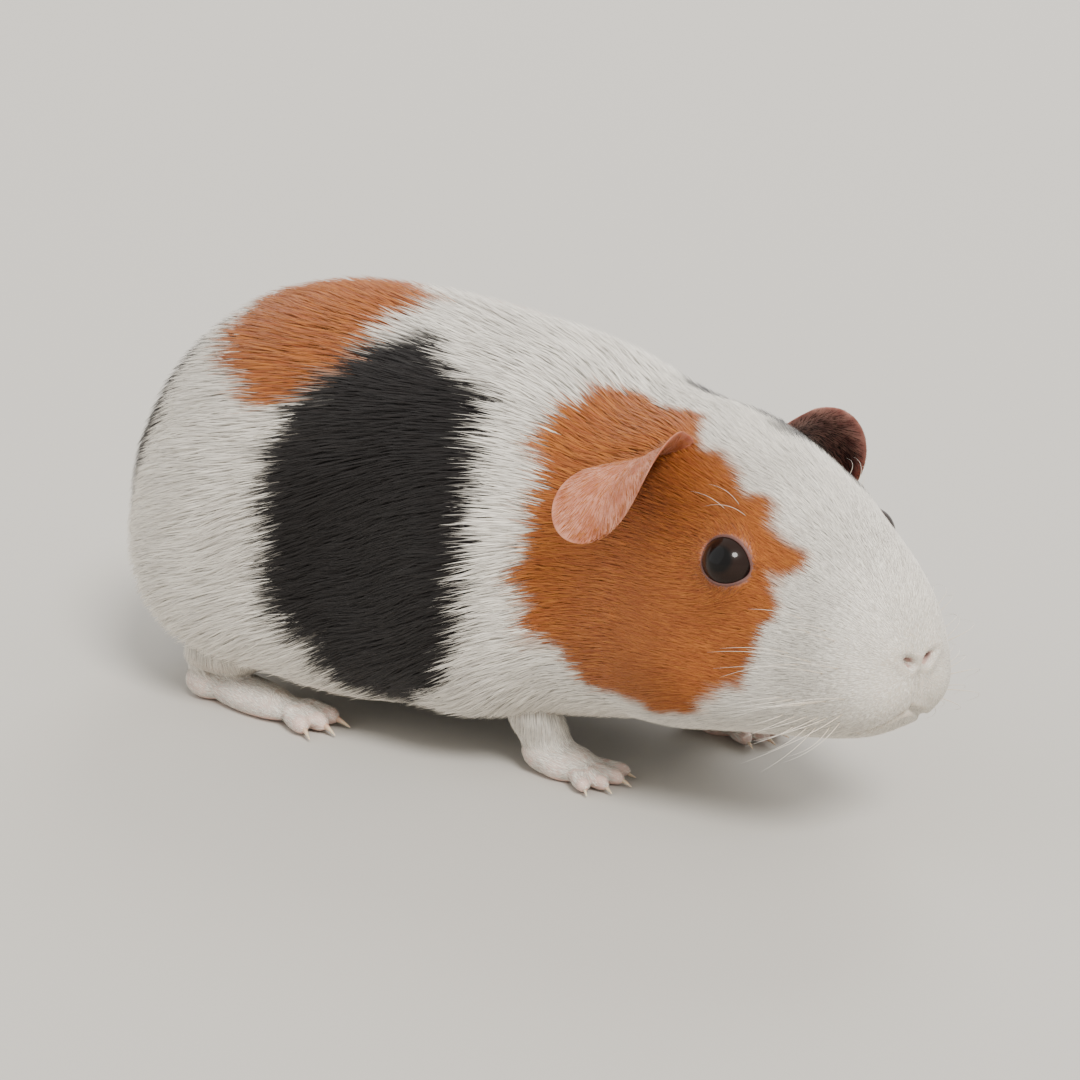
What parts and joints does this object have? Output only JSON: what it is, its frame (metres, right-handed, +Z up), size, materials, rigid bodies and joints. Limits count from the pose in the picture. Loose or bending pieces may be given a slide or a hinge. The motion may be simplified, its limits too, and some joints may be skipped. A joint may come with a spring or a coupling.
{
  "type": "guinea pig",
  "caption": "Life-size still model of an adult short-haired guinea pig that stands on all four feet with its head turned a little to its right.",
  "frame": {"origin": "under the middle of the animal's bounding box, on the floor that its soles stand on", "axes": "+X towards the nose, +Y towards the animal's left side, +Z up"},
  "size_m": [0.2491, 0.1116, 0.1058],
  "materials": {
    "white_coat": "short, soft coat",
    "golden_coat": "short, soft coat",
    "dark_coat": "short, soft coat with a slight gloss",
    "bare_skin": "thin, nearly bare skin",
    "eye": "wet and glossy",
    "claw": "smooth horn"
  },
  "bodies": {
    "root": {"claw_fore_inner_left": "claw", "claw_fore_inner_right": "claw", "claw_fore_middle_left": "claw", "claw_fore_middle_right": "claw", "claw_fore_outer_left": "claw", "claw_fore_outer_right": "claw", "claw_fore_ring_left": "claw", "claw_fore_ring_right": "claw", "claw_hind_inner_left": "claw", "claw_hind_inner_right": "claw", "claw_hind_middle_left": "claw", "claw_hind_middle_right": "claw", "claw_hind_outer_left": "claw", "claw_hind_outer_right": "claw", "ear_left": "bare_skin", "ear_right": "bare_skin", "eye_left": "eye", "eye_right": "eye", "forefoot_left": "bare_skin", "forefoot_right": "bare_skin", "foreleg_left": "white_coat", "foreleg_right": "white_coat", "head": "golden_coat", "hindfoot_left": "bare_skin", "hindfoot_right": "bare_skin", "hindleg_left": "white_coat", "hindleg_right": "white_coat", "neck": "white_coat", "trunk": "dark_coat"}
  },
  "joints": []
}
